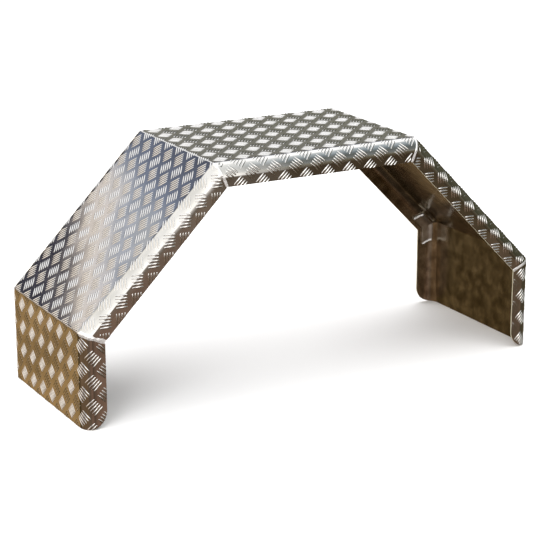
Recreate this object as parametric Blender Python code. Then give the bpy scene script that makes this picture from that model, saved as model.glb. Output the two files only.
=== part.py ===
"""Five-panel trailer mudguard folded from aluminium tread plate.

One sheet: raised five-bar tread on the outside, a side flange bent down along both long edges,
the flanges notched at the four folds and welded back along the mitres. A small doubler is
welded inside one flange, over a mitre.

Frame: X runs along the mudguard, Y across it, +Z up. The origin is on the surface that the two
feet stand on, midway between them.
"""

import math

import bmesh
import bpy
from mathutils import Matrix, Vector

# Overall form, measured on the outer face of the plate
WIDTH = 0.300
TOP_LENGTH = 0.372
SLOPE_LENGTH = 0.335
LEG_LENGTH = 0.156
SLOPE_ANGLE = math.radians(45.5)

# Plate and its bends
SHEET = 0.0025
FLANGE_DEPTH = 0.037
BEND_RADIUS = 0.0215
FOLD_RADIUS = 0.004
CORNER_RADIUS = 0.030
BEND_FACETS = 4
FOLD_FACETS = 2
CORNER_FACETS = 8

# Five-bar tread: square groups of five bars, every other group turned by a right angle.
# TREAD_PITCH is the distance along the plate between two groups whose bars run the same way.
TREAD_PITCH = 0.0395
TREAD_HEIGHT = 0.001
TREAD_ROOT = 0.0003
BARS_IN_GROUP = 5
BAR_SPACING = 0.0048
BAR_WIDTH = 0.0028
BAR_LENGTH = 0.0195
BAR_TAPER = 0.0045
TREAD_SHIFT_X = -0.0076
TREAD_SHIFT_Y = 0.0013
TREAD_EDGE = 0.0006
WELD_HALF_WIDTH = 0.0055
SMALLEST_SCRAP = 0.4
TRIM_MARGIN = 0.0004
UNDERSIDE_NORMAL = -0.9

# Mesh tidying
SAME_POINT = 0.000001
MERGE_DISTANCE = 0.00005
FLAT_ANGLE = math.radians(0.5)

# Doubler inside the +Y flange, across the mitre between the +X slope and the +X leg
STRAP_THICKNESS = 0.0025
STRAP_UP_SLOPE = 0.028
STRAP_DOWN_LEG = 0.030
STRAP_EDGE_INSET = 0.0075
STRAP_FIRST_FACET = BEND_FACETS // 2
BEAD_RADIUS = 0.0022
BEAD_END_INSET = 0.0012
BEAD_LIFT = 0.00025
PIECE_GAP = 0.0003

# Finish
PLATE_COLOUR = (0.78, 0.77, 0.74)
PLATE_ROUGHNESS = 0.22
DOUBLER_COLOUR = (0.80, 0.79, 0.77)
DOUBLER_ROUGHNESS = 0.30

MODEL_NAME = "aluminium_mudguard"
CUTTER_NAME = "mudguard_cutters"

# Worked out from the driving sizes
GROUP_SPAN = (BARS_IN_GROUP - 1) * BAR_SPACING + BAR_WIDTH
HALF_TOP = TOP_LENGTH / 2
HALF_REACH = HALF_TOP + SLOPE_LENGTH * math.cos(SLOPE_ANGLE)
TOP_HEIGHT = LEG_LENGTH + SLOPE_LENGTH * math.sin(SLOPE_ANGLE)
FLAT_HALF_WIDTH = WIDTH / 2 - BEND_RADIUS
BEND_STEP = math.pi / 2 / BEND_FACETS
UPPER_TURN = SLOPE_ANGLE
LOWER_TURN = math.pi / 2 - SLOPE_ANGLE


class Fold:
    """A fold across the plate on the +X half: where it is and how far it turns."""

    def __init__(self, corner, angle_in, turn):
        self.corner = corner
        self.angle_in = angle_in
        self.turn = turn
        self.tangent = FOLD_RADIUS * math.tan(turn / 2)
        middle = angle_in + turn / 2
        self.inward = -Vector((math.sin(middle), math.cos(middle)))
        self.centre = corner + self.inward * FOLD_RADIUS / math.cos(turn / 2)
        self.facet = 2 * FOLD_RADIUS * math.sin(turn / FOLD_FACETS / 2)

    def arc_point(self, step, depth):
        """Point below the outer face by depth, on radial line number step of the fold."""
        angle = self.angle_in + self.turn * step / FOLD_FACETS
        outward = Vector((math.sin(angle), math.cos(angle)))
        return self.centre + outward * (FOLD_RADIUS - depth)

    def mitre_point(self, depth):
        """Point below the outer face by depth, on the plane that halves the fold."""
        return self.corner + self.inward * depth / math.cos(self.turn / 2)

    def section_point(self, step, depth):
        """As arc_point, but anything deeper than the fold's centre stays on the mitre."""
        if depth < FOLD_RADIUS:
            return self.arc_point(step, depth)
        return self.mitre_point(depth)


UPPER_FOLD = Fold(Vector((HALF_TOP, TOP_HEIGHT)), 0.0, UPPER_TURN)
LOWER_FOLD = Fold(Vector((HALF_REACH, LEG_LENGTH)), UPPER_TURN, LOWER_TURN)


def unrolled_stations():
    """Distances from the middle of the top panel, along the unrolled plate, of every fold line."""
    upper = HALF_TOP - UPPER_FOLD.tangent
    upper_end = upper + FOLD_FACETS * UPPER_FOLD.facet
    lower = upper_end + SLOPE_LENGTH - UPPER_FOLD.tangent - LOWER_FOLD.tangent
    lower_end = lower + FOLD_FACETS * LOWER_FOLD.facet
    foot = lower_end + LEG_LENGTH - LOWER_FOLD.tangent
    return upper, upper_end, lower, lower_end, foot


UPPER_START, UPPER_END, LOWER_START, LOWER_END, FOOT = unrolled_stations()


def side_point(distance, depth):
    """Side-view point (x, z) for a distance along the unrolled plate and a depth below it."""
    along = abs(distance)
    if along <= UPPER_START:
        point = Vector((along, TOP_HEIGHT - depth))
    elif along < UPPER_END:
        point = on_fold(UPPER_FOLD, (along - UPPER_START) / UPPER_FOLD.facet, depth)
    elif along <= LOWER_START:
        down_slope = Vector((math.cos(SLOPE_ANGLE), -math.sin(SLOPE_ANGLE)))
        start = UPPER_FOLD.arc_point(FOLD_FACETS, depth)
        point = start + down_slope * (along - UPPER_END)
    elif along < LOWER_END:
        point = on_fold(LOWER_FOLD, (along - LOWER_START) / LOWER_FOLD.facet, depth)
    else:
        start = LOWER_FOLD.arc_point(FOLD_FACETS, depth)
        point = start + Vector((0, -1)) * (along - LOWER_END)
    return Vector((math.copysign(point.x, distance), point.y))


def on_fold(fold, position, depth):
    """Point between two radial lines of a fold, on the flat facet that joins them."""
    step = min(int(position), FOLD_FACETS - 1)
    start = fold.arc_point(step, depth)
    end = fold.arc_point(step + 1, depth)
    return start.lerp(end, position - step)


def bend_line(step):
    """Distance across the unrolled plate, from its middle, of facet line number step."""
    facet = 2 * BEND_RADIUS * math.sin(BEND_STEP / 2)
    return FLAT_HALF_WIDTH + step * facet


HALF_BLANK = bend_line(BEND_FACETS) + FLANGE_DEPTH - BEND_RADIUS


def bend_point(step, raise_by):
    """Cross-section point (depth, y) on facet line number step, raised off the outer face."""
    angle = BEND_STEP * step
    radius = BEND_RADIUS + raise_by
    depth = BEND_RADIUS - radius * math.cos(angle)
    return Vector((depth, FLAT_HALF_WIDTH + radius * math.sin(angle)))


def cross_point(across, raise_by):
    """Cross-section point (depth, y) for a distance across the unrolled plate."""
    reach = abs(across)
    if reach <= FLAT_HALF_WIDTH:
        point = Vector((-raise_by, reach))
    elif reach >= bend_line(BEND_FACETS):
        point = bend_point(BEND_FACETS, raise_by)
        point.x += reach - bend_line(BEND_FACETS)
    else:
        facet = bend_line(1) - bend_line(0)
        position = (reach - FLAT_HALF_WIDTH) / facet
        step = min(int(position), BEND_FACETS - 1)
        start = bend_point(step, raise_by)
        point = start.lerp(bend_point(step + 1, raise_by), position - step)
    return Vector((point.x, math.copysign(point.y, across)))


def folded(point):
    """Where a point of the flat blank (along, across, raised) goes on the folded mudguard."""
    depth, y = cross_point(point.y, point.z)
    x, z = side_point(point.x, depth)
    return Vector((x, y, z))


def half_section(inset, first_step, flange_end):
    """Cross-section points (depth, y) of the +Y side, inset from the outer face."""
    points = [bend_point(step, -inset) for step in range(first_step, BEND_FACETS + 1)]
    return points + [Vector((flange_end, WIDTH / 2 - inset))]


def plate_section():
    """Closed cross-section of the plate: outer face, free edge, inner face, free edge."""
    outer = half_section(0.0, 0, FLANGE_DEPTH)
    inner = half_section(SHEET, 0, FLANGE_DEPTH)
    half = outer + inner[::-1]
    mirrored = [Vector((depth, -y)) for depth, y in reversed(half)]
    return half + mirrored


def strap_section():
    """Closed cross-section of the doubler, which follows the inside of the bend and flange."""
    inset = SHEET + PIECE_GAP
    end = FLANGE_DEPTH - STRAP_EDGE_INSET
    seat = half_section(inset, STRAP_FIRST_FACET, end)
    face = half_section(inset + STRAP_THICKNESS, STRAP_FIRST_FACET, end)
    return seat + face[::-1]


def swept_solid(section, rings):
    """Closed mesh of a closed section carried through rings, one function of depth for each."""
    bm = bmesh.new()
    loop = [place(rings[0], point, bm) for point in section]
    edges = [bm.edges.new((loop[i - 1], loop[i])) for i in range(len(loop))]
    bmesh.ops.contextual_create(bm, geom=edges)
    for ring in rings[1:]:
        geometry = bmesh.ops.extrude_edge_only(bm, edges=edges)["geom"]
        old_loop, loop = loop, [None] * len(section)
        new_verts = {v for v in geometry if isinstance(v, bmesh.types.BMVert)}
        edges = [e for e in geometry if isinstance(e, bmesh.types.BMEdge)]
        for index, old in enumerate(old_loop):
            loop[index] = next(e.other_vert(old) for e in old.link_edges
                               if e.other_vert(old) in new_verts)
            depth, y = section[index]
            x, z = ring(depth)
            loop[index].co = (x, y, z)
    bmesh.ops.contextual_create(bm, geom=edges)
    bmesh.ops.remove_doubles(bm, verts=bm.verts, dist=SAME_POINT)
    bmesh.ops.recalc_face_normals(bm, faces=bm.faces)
    return bm


def place(ring, point, bm):
    """New vertex where a section point lies on a ring."""
    x, z = ring(point.x)
    return bm.verts.new((x, point.y, z))


def fold_rings(fold, mirrored):
    """Rings through a fold, from its top end to its bottom end."""
    def ring(step):
        side = -1 if mirrored else 1

        def side_view(depth):
            point = fold.section_point(step, depth)
            return Vector((side * point.x, point.y))
        return side_view
    return [ring(step) for step in range(FOLD_FACETS + 1)]


def plate_rings():
    """Rings through the whole mudguard, from the -X foot over the top to the +X foot."""
    def foot(distance):
        return lambda depth: side_point(distance, depth)
    left = fold_rings(UPPER_FOLD, True) + fold_rings(LOWER_FOLD, True) + [foot(-FOOT)]
    right = fold_rings(UPPER_FOLD, False) + fold_rings(LOWER_FOLD, False) + [foot(FOOT)]
    return left[::-1] + right


def strap_rings():
    """Rings through the doubler, from its end up the slope to its end down the leg."""
    top = LOWER_START + LOWER_FOLD.tangent - STRAP_UP_SLOPE
    bottom = LOWER_END - LOWER_FOLD.tangent + STRAP_DOWN_LEG
    return [lambda depth: side_point(top, depth),
            lambda depth: LOWER_FOLD.mitre_point(depth),
            lambda depth: side_point(bottom, depth)]


def new_object(name, bm, collection):
    """Mesh object made from a bmesh, which is freed."""
    mesh = bpy.data.meshes.new(name)
    bm.to_mesh(mesh)
    bm.free()
    item = bpy.data.objects.new(name, mesh)
    collection.objects.link(item)
    return item


def as_cutter(item):
    """Show an object as a wire guide that is left out of the model."""
    item.hide_render = True
    item.display_type = "WIRE"
    return item


def add_boolean(item, operation, other):
    """Boolean modifier with the exact solver."""
    modifier = item.modifiers.new(operation.lower(), "BOOLEAN")
    modifier.operation = operation
    modifier.solver = "EXACT"
    modifier.object = other


def evaluated_copy(item, name, collection):
    """Plain mesh object with the modifiers of another applied."""
    bpy.context.view_layer.update()
    graph = bpy.context.evaluated_depsgraph_get()
    mesh = bpy.data.meshes.new_from_object(item.evaluated_get(graph))
    mesh.name = name
    copy = bpy.data.objects.new(name, mesh)
    collection.objects.link(copy)
    return copy


def pad_mesh():
    """One tread group as a low hipped ridge that runs the way its bars do."""
    bm = bmesh.new()
    height = TREAD_HEIGHT + TREAD_ROOT
    middle = (TREAD_HEIGHT - TREAD_ROOT) / 2
    size = Matrix.Diagonal((BAR_LENGTH, GROUP_SPAN, height, 1))
    bmesh.ops.create_cube(bm, matrix=Matrix.Translation((0, 0, middle)) @ size)
    for vert in bm.verts:
        if vert.co.z > 0:
            vert.co.x -= math.copysign(BAR_TAPER, vert.co.x)
            vert.co.y = 0
    bmesh.ops.remove_doubles(bm, verts=bm.verts, dist=SAME_POINT)
    mesh = bpy.data.meshes.new("tread_group")
    bm.to_mesh(mesh)
    bm.free()
    return mesh


def flat_tread(collection):
    """Every tread group of the flat blank, in both directions, as one object."""
    pad = pad_mesh()
    bm = bmesh.new()
    half_pitch = TREAD_PITCH / 2
    columns = math.ceil(FOOT / half_pitch) + 1
    rows = math.ceil(HALF_BLANK / half_pitch) + 1
    for column in range(-columns, columns + 1):
        for row in range(-rows, rows + 1):
            if (column + row) % 2:
                continue
            direction = -1 if column % 2 == 0 else 1
            centre = Vector((TREAD_SHIFT_X + column * half_pitch,
                             TREAD_SHIFT_Y + row * half_pitch, 0))
            turn = Matrix.Rotation(direction * math.pi / 4, 4, "Z")
            bm.from_mesh(pad)
            new_verts = bm.verts[-len(pad.vertices):]
            bmesh.ops.transform(bm, matrix=Matrix.Translation(centre) @ turn, verts=new_verts)
    bpy.data.meshes.remove(pad)
    return new_object("flat_tread", bm, collection)


def clear_of_weld(corner_distance, turn, side):
    """Outline points beside one mitre, from the bend's start to past the free edge."""
    edge_steps = [cross_point(bend_line(step), 0.0) for step in range(BEND_FACETS + 1)]
    depths = [point.x for point in edge_steps] + [FLANGE_DEPTH - TREAD_EDGE]
    lines = [bend_line(step) for step in range(BEND_FACETS + 1)] + [HALF_BLANK - TREAD_EDGE]
    setback = WELD_HALF_WIDTH / math.cos(turn / 2)
    return [Vector((corner_distance + side * (depth * math.tan(turn / 2) + setback), line))
            for depth, line in zip(depths, lines)]


def quarter_outline():
    """Outline of the tread area on one quarter of the flat blank, from the middle to the foot."""
    upper = clear_of_weld(UPPER_START + UPPER_FOLD.tangent, UPPER_TURN, -1)
    upper_low = clear_of_weld(UPPER_END - UPPER_FOLD.tangent, UPPER_TURN, 1)
    lower = clear_of_weld(LOWER_START + LOWER_FOLD.tangent, LOWER_TURN, -1)
    lower_low = clear_of_weld(LOWER_END - LOWER_FOLD.tangent, LOWER_TURN, 1)
    return upper[::-1] + upper_low + lower[::-1] + lower_low + rounded_foot()


def rounded_foot():
    """Outline points round the lower free corner of a flange, from the free edge to the foot."""
    points = []
    for step in range(CORNER_FACETS + 1):
        angle = math.pi / 2 * step / CORNER_FACETS
        depth = FLANGE_DEPTH - CORNER_RADIUS + CORNER_RADIUS * math.cos(angle)
        up = CORNER_RADIUS - CORNER_RADIUS * math.sin(angle)
        points.append(Vector((FOOT - TREAD_EDGE - up, across_at(depth) - TREAD_EDGE)))
    return points


def across_at(depth):
    """Distance across the unrolled plate at which its outer face lies at a depth."""
    step = next((n for n in range(1, BEND_FACETS + 1) if bend_point(n, 0).x >= depth), None)
    if step is None:
        return bend_line(BEND_FACETS) + depth - BEND_RADIUS
    start = bend_point(step - 1, 0).x
    share = (depth - start) / (bend_point(step, 0).x - start)
    return bend_line(step - 1) + share * (bend_line(step) - bend_line(step - 1))


def tread_area(collection):
    """Solid over the part of the flat blank that keeps its tread."""
    quarter = quarter_outline()
    far_side = [Vector((-x, y)) for x, y in reversed(quarter)] + quarter
    outline = far_side + [Vector((x, -y)) for x, y in reversed(far_side)]
    bm = bmesh.new()
    low = -TREAD_ROOT - TRIM_MARGIN
    verts = [bm.verts.new((x, y, low)) for x, y in outline]
    face = bm.faces.new(verts)
    lift = TREAD_HEIGHT + TRIM_MARGIN - low
    raised = bmesh.ops.extrude_face_region(bm, geom=[face])["geom"]
    top = [v for v in raised if isinstance(v, bmesh.types.BMVert)]
    bmesh.ops.translate(bm, verts=top, vec=(0, 0, lift))
    bmesh.ops.recalc_face_normals(bm, faces=bm.faces)
    return new_object("tread_area", bm, collection)


def split_at(bm, point, normal):
    """Cut every face of a mesh along a plane and keep both sides."""
    geometry = list(bm.verts) + list(bm.edges) + list(bm.faces)
    bmesh.ops.bisect_plane(bm, geom=geometry, plane_co=point, plane_no=normal, dist=SAME_POINT)


def drop_scraps(bm):
    """Delete the trimmed groups of which only a scrap is left: they are ground off with the weld."""
    least = SMALLEST_SCRAP * BAR_LENGTH * GROUP_SPAN
    unseen = set(bm.verts)
    scraps = []
    while unseen:
        island = [unseen.pop()]
        for vert in island:
            for edge in vert.link_edges:
                other = edge.other_vert(vert)
                if other in unseen:
                    unseen.discard(other)
                    island.append(other)
        faces = {face for vert in island for face in vert.link_faces if face.normal.z < UNDERSIDE_NORMAL}
        if sum(face.calc_area() for face in faces) < least:
            scraps += island
    bmesh.ops.delete(bm, geom=scraps, context="VERTS")


def folded_tread(collection):
    """The tread groups, trimmed to the blank and carried round its bends and folds."""
    flat = flat_tread(collection)
    area = tread_area(collection)
    add_boolean(flat, "INTERSECT", area)
    tread = evaluated_copy(flat, "raised_tread", collection)
    bpy.data.objects.remove(flat)
    bpy.data.objects.remove(area)
    bm = bmesh.new()
    bm.from_mesh(tread.data)
    drop_scraps(bm)
    fold_lines = [start + step * fold.facet
                  for start, fold in ((UPPER_START, UPPER_FOLD), (LOWER_START, LOWER_FOLD))
                  for step in range(FOLD_FACETS + 1)]
    for side in (-1, 1):
        for line in fold_lines:
            split_at(bm, (side * line, 0, 0), (1, 0, 0))
        for step in range(BEND_FACETS + 1):
            split_at(bm, (0, side * bend_line(step), 0), (0, 1, 0))
    bmesh.ops.remove_doubles(bm, verts=bm.verts, dist=SAME_POINT)
    bmesh.ops.dissolve_degenerate(bm, edges=bm.edges, dist=SAME_POINT)
    for vert in bm.verts:
        vert.co = folded(vert.co)
    bm.to_mesh(tread.data)
    bm.free()
    return as_cutter(tread)


def corner_cutter(side_x, side_y, collection):
    """Cutter that rounds the lower free corner of one flange."""
    outer_x = side_x * HALF_REACH
    centre_depth = FLANGE_DEPTH - CORNER_RADIUS
    beyond = CORNER_RADIUS / 2
    points = [(centre_depth, -beyond), (FLANGE_DEPTH + beyond, -beyond),
              (FLANGE_DEPTH + beyond, CORNER_RADIUS)]
    for step in range(CORNER_FACETS + 1):
        angle = math.pi / 2 * step / CORNER_FACETS
        points.append((centre_depth + CORNER_RADIUS * math.cos(angle),
                       CORNER_RADIUS - CORNER_RADIUS * math.sin(angle)))
    bm = bmesh.new()
    y_in = side_y * FLAT_HALF_WIDTH
    verts = [bm.verts.new((outer_x - side_x * depth, y_in, z)) for depth, z in points]
    face = bm.faces.new(verts)
    extruded = bmesh.ops.extrude_face_region(bm, geom=[face])["geom"]
    moved = [v for v in extruded if isinstance(v, bmesh.types.BMVert)]
    bmesh.ops.translate(bm, verts=moved, vec=(0, side_y * 2 * BEND_RADIUS, 0))
    bmesh.ops.recalc_face_normals(bm, faces=bm.faces)
    return as_cutter(new_object("corner_round", bm, collection))


def weld_bead(distance, collection):
    """Bead across one end of the doubler, along the inside of the bend and flange."""
    inset = SHEET + PIECE_GAP + BEAD_LIFT + BEAD_RADIUS
    end = FLANGE_DEPTH - STRAP_EDGE_INSET - BEAD_END_INSET
    curve = bpy.data.curves.new("weld_bead", "CURVE")
    curve.dimensions = "3D"
    curve.bevel_depth = BEAD_RADIUS
    curve.bevel_resolution = 1
    curve.use_fill_caps = True
    points = half_section(inset, STRAP_FIRST_FACET, end)
    points[0] += (points[1] - points[0]).normalized() * BEAD_END_INSET
    spline = curve.splines.new("POLY")
    spline.points.add(len(points) - 1)
    for target, (depth, y) in zip(spline.points, points):
        x, z = side_point(distance, depth)
        target.co = (x, y, z, 1)
    path = bpy.data.objects.new("weld_bead", curve)
    collection.objects.link(path)
    bead = evaluated_copy(path, "doubler_bead", collection)
    bpy.data.objects.remove(path)
    bm = bmesh.new()
    bm.from_mesh(bead.data)
    bmesh.ops.remove_doubles(bm, verts=bm.verts, dist=SAME_POINT)
    bmesh.ops.recalc_face_normals(bm, faces=bm.faces)
    bm.to_mesh(bead.data)
    bm.free()
    return as_cutter(bead)


def aluminium(name, colour, roughness):
    """Metal material with a colour and a roughness."""
    material = bpy.data.materials.new(name)
    material.use_nodes = True
    shader = material.node_tree.nodes["Principled BSDF"]
    shader.inputs["Base Color"].default_value = (*colour, 1)
    shader.inputs["Metallic"].default_value = 1.0
    shader.inputs["Roughness"].default_value = roughness
    return material


def make_shell(collection, cutters):
    """The folded plate with its tread, welded at the mitres, with rounded lower corners."""
    shell = new_object("mudguard_shell", swept_solid(plate_section(), plate_rings()), collection)
    shell.data.materials.append(aluminium("tread_plate", PLATE_COLOUR, PLATE_ROUGHNESS))
    for side_x in (-1, 1):
        for side_y in (-1, 1):
            add_boolean(shell, "DIFFERENCE", corner_cutter(side_x, side_y, cutters))
    shell.modifiers.new("split_into_triangles", "TRIANGULATE")
    add_boolean(shell, "UNION", folded_tread(cutters))
    weld = shell.modifiers.new("merge_close_points", "WELD")
    weld.merge_threshold = MERGE_DISTANCE
    tidy = shell.modifiers.new("merge_flat_faces", "DECIMATE")
    tidy.decimate_type = "DISSOLVE"
    tidy.angle_limit = FLAT_ANGLE


def make_strap(collection, cutters):
    """The doubler plate inside the +Y flange, with the bead across each end."""
    strap = new_object("joint_doubler", swept_solid(strap_section(), strap_rings()), collection)
    strap.data.materials.append(aluminium("doubler_plate", DOUBLER_COLOUR, DOUBLER_ROUGHNESS))
    top = LOWER_START + LOWER_FOLD.tangent - STRAP_UP_SLOPE
    bottom = LOWER_END - LOWER_FOLD.tangent + STRAP_DOWN_LEG
    for distance in (top, bottom):
        add_boolean(strap, "UNION", weld_bead(distance, cutters))


def main():
    for item in list(bpy.data.objects):
        bpy.data.objects.remove(item)
    model = bpy.data.collections.new(MODEL_NAME)
    cutters = bpy.data.collections.new(CUTTER_NAME)
    bpy.context.scene.collection.children.link(model)
    bpy.context.scene.collection.children.link(cutters)
    make_shell(model, cutters)
    make_strap(model, cutters)


main()
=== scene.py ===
"""Looks for the tread-plate mudguard: the smooth sheet, its raised bars, its welds and the doubler."""

import math

import bmesh
import bpy
import numpy as np
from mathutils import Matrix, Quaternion, Vector


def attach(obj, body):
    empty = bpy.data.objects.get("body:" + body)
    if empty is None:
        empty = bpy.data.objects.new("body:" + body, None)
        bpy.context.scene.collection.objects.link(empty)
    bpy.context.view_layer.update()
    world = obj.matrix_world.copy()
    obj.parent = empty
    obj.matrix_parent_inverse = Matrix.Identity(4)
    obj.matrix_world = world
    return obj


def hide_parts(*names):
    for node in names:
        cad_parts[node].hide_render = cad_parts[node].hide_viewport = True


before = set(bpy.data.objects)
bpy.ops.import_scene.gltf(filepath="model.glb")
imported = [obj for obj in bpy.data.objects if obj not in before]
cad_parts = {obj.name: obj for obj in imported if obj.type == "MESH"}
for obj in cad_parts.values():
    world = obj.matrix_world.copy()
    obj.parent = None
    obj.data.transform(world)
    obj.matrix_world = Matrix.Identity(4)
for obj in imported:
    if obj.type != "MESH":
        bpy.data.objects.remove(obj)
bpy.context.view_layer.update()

# Sizes in metres, the same as the solids' where both have them
WIDTH = 0.300
TOP_LENGTH = 0.372
SLOPE_LENGTH = 0.335
LEG_LENGTH = 0.156
SLOPE_ANGLE = math.radians(45.5)
SHEET = 0.0025
FLANGE_DEPTH = 0.037
BEND_RADIUS = 0.0215
FOLD_RADIUS = 0.004
CORNER_RADIUS = 0.030
TREAD_PITCH = 0.0395
TREAD_SHIFT = (-0.0076, 0.0013)
BARS_IN_GROUP = 5
BAR_SPACING = 0.0048
BAR_WIDTH = 0.0032
BAR_LENGTH = 0.0200
BAR_HEIGHT = 0.00098
WELD_HALF_WIDTH = 0.0055
STRAP_GAP = 0.0003
STRAP_THICKNESS = 0.0025
STRAP_UP_SLOPE = 0.028
STRAP_DOWN_LEG = 0.030
STRAP_EDGE_INSET = 0.0075
BEAD_RADIUS = 0.0021

# Fineness of the meshes, and how far from a bend or fold the row of points that holds it lies
BEND_STEPS = 14
FOLD_STEPS = 6
CORNER_STEPS = 12
STRAP_COLUMNS = 16
BEAD_SIDES = 14
BEAD_STEPS = 60
WELD_STEPS = 40
HOLD = 0.0012

# Bars: where their rings and long lines lie, how high each line is, and how they are trimmed
BAR_RINGS = np.array((-1.0, -0.93, -0.78, -0.5, -0.17, 0.17, 0.5, 0.78, 0.93, 1.0))
BAR_LINES = np.array((-1.0, -0.955, -0.80, -0.42, 0.0, 0.42, 0.80, 0.955, 1.0))
BAR_LINE_HEIGHTS = np.array((0.0, 0.34, 0.54, 0.87, 1.0, 0.87, 0.54, 0.34, 0.0))
MIDDLE_LINE = len(BAR_LINES) // 2
BAR_TAPER = 2.4
BAR_END_WIDTH = 0.16
BAR_CROWN = 0.7
BAR_UNEVENNESS = 0.08
BAR_SINK = 0.00012
SEARCH_STEPS = 61
SHORTEST_BAR = 0.0022
DRAW_IN_STEPS = 5

# Welds: half widths at the mitres on the -X and +X side, and how they rise above the plate
WELD_START = 0.002
WELD_OFFSETS = np.array((-1.0, -0.82, -0.55, -0.25, 0.0, 0.25, 0.55, 0.82, 1.0))
UPPER_STRIPS = (0.0030, 0.0027)
LOWER_STRIPS = (0.0047, 0.0027)
WELD_RISE = 0.00026
WELD_SINK = 0.00008
WELD_END_GAP = 0.0002
WELD_TIP_SHARE = 0.35
WELD_TIP_STEPS = 5
RIPPLE_SPAN = 9
RIPPLE_IN_WIDTH = 0.28
RIPPLE_IN_RISE = 0.5

# Beads: how they swell and shrink as shares of their radius, and how they end
BEAD_MEAN = 0.84
BEAD_SWELL = 0.16
BEAD_BEAT = 1.05
BEAD_ROUGHNESS = 0.06
BEAD_LARGEST = 1.04
BEAD_END_GAP = 0.001
BEAD_TIP_SHARE = 0.25
BEAD_TIP_STEPS = 4

# Softened edges
WORN_EDGE = 0.00035
SOFT_EDGE = 0.0004
EDGE_SEGMENTS = 2

# Camera fitted to the photograph's outline, with no lens shift
CAMERA_AZIMUTH = math.radians(-29.003)
CAMERA_ELEVATION = math.radians(16.839)
CAMERA_ROLL = math.radians(-0.103)
CAMERA_DISTANCE = 3.0835
CAMERA_TARGET = Vector((-0.01173, 0.0, 0.16019))
FOCAL_PIXELS = 1826.35
PHOTO_PIXELS = 541
SENSOR = 36.0

FLOOR_HALF = 30.0
FLOOR_DROP = 0.0005

HALF_TOP = TOP_LENGTH / 2
HALF_REACH = HALF_TOP + SLOPE_LENGTH * math.cos(SLOPE_ANGLE)
TOP_HEIGHT = LEG_LENGTH + SLOPE_LENGTH * math.sin(SLOPE_ANGLE)
FLAT_HALF = WIDTH / 2 - BEND_RADIUS
BEND_END = FLAT_HALF + BEND_RADIUS * math.pi / 2
HALF_BLANK = BEND_END + FLANGE_DEPTH - BEND_RADIUS
STRAP_START = FLAT_HALF + BEND_RADIUS * math.pi / 4


class Fold:
    """A fold across the plate on the +X half."""

    def __init__(self, corner, angle_in, turn):
        self.corner = np.array(corner)
        self.angle_in = angle_in
        self.turn = turn
        self.tangent = FOLD_RADIUS * math.tan(turn / 2)
        middle = angle_in + turn / 2
        self.inward = -np.array((math.sin(middle), math.cos(middle)))
        self.centre = self.corner + self.inward * FOLD_RADIUS / math.cos(turn / 2)

    def point(self, share, depth):
        """Side-view point (x, z) a share of the way round the fold, at a depth below the outer face."""
        if depth >= FOLD_RADIUS:
            return self.corner + self.inward * depth / math.cos(self.turn / 2)
        angle = self.angle_in + self.turn * share
        return self.centre + np.array((math.sin(angle), math.cos(angle))) * (FOLD_RADIUS - depth)


UPPER = Fold((HALF_TOP, TOP_HEIGHT), 0.0, SLOPE_ANGLE)
LOWER = Fold((HALF_REACH, LEG_LENGTH), SLOPE_ANGLE, math.pi / 2 - SLOPE_ANGLE)
UPPER_START = HALF_TOP - UPPER.tangent
UPPER_END = UPPER_START + FOLD_RADIUS * UPPER.turn
LOWER_START = UPPER_END + SLOPE_LENGTH - UPPER.tangent - LOWER.tangent
LOWER_END = LOWER_START + FOLD_RADIUS * LOWER.turn
FOOT = LOWER_END + LEG_LENGTH - LOWER.tangent


def cross_points(across, raised):
    """Depth and y for arrays of distance across the unrolled plate and height above its face."""
    reach = np.abs(across)
    angle = np.clip((reach - FLAT_HALF) / BEND_RADIUS, 0, math.pi / 2)
    radius = BEND_RADIUS + raised
    depth = BEND_RADIUS - radius * np.cos(angle) + np.maximum(reach - BEND_END, 0)
    y = np.minimum(reach, FLAT_HALF) + radius * np.sin(angle)
    return depth, np.copysign(y, across)


def side_points(along, depth):
    """x and z for arrays of distance along the unrolled plate and depth below its outer face."""
    reach = np.abs(along)
    x = reach.copy()
    z = TOP_HEIGHT - depth
    for fold, start, end in ((UPPER, UPPER_START, UPPER_END), (LOWER, LOWER_START, LOWER_END)):
        past = reach > start
        angle = fold.angle_in + np.clip((reach - start) / (end - start), 0, 1) * fold.turn
        out_x, out_z = np.sin(angle), np.cos(angle)
        over = np.maximum(reach - end, 0)
        fold_x = fold.centre[0] + out_x * (FOLD_RADIUS - depth) + out_z * over
        fold_z = fold.centre[1] + out_z * (FOLD_RADIUS - depth) - out_x * over
        x = np.where(past, fold_x, x)
        z = np.where(past, fold_z, z)
    return np.copysign(x, along), z


def folded(along, across, raised):
    """Where points of the flat blank go on the folded mudguard."""
    depth, y = cross_points(across, raised)
    x, z = side_points(along, depth)
    return np.stack((x, y, z), axis=-1)


def mesh_object(name, points, faces, materials):
    """Smooth-shaded mesh object from arrays of points and faces."""
    mesh = bpy.data.meshes.new(name)
    mesh.from_pydata([tuple(p) for p in points], [], [tuple(f) for f in faces])
    bm = bmesh.new()
    bm.from_mesh(mesh)
    bmesh.ops.recalc_face_normals(bm, faces=bm.faces)
    bm.to_mesh(mesh)
    bm.free()
    mesh.shade_smooth()
    for material in materials:
        mesh.materials.append(material)
    piece = bpy.data.objects.new(name, mesh)
    bpy.context.scene.collection.objects.link(piece)
    return piece


# Sheet

def flange_depths():
    """Depths down the flange, close together where the foot's corner turns."""
    centre = FLANGE_DEPTH - CORNER_RADIUS
    turns = np.linspace(0, math.pi / 2, CORNER_STEPS + 1)
    depths = centre + CORNER_RADIUS * np.sin(turns)
    return [d for d in depths if d > BEND_RADIUS + HOLD]


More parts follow.
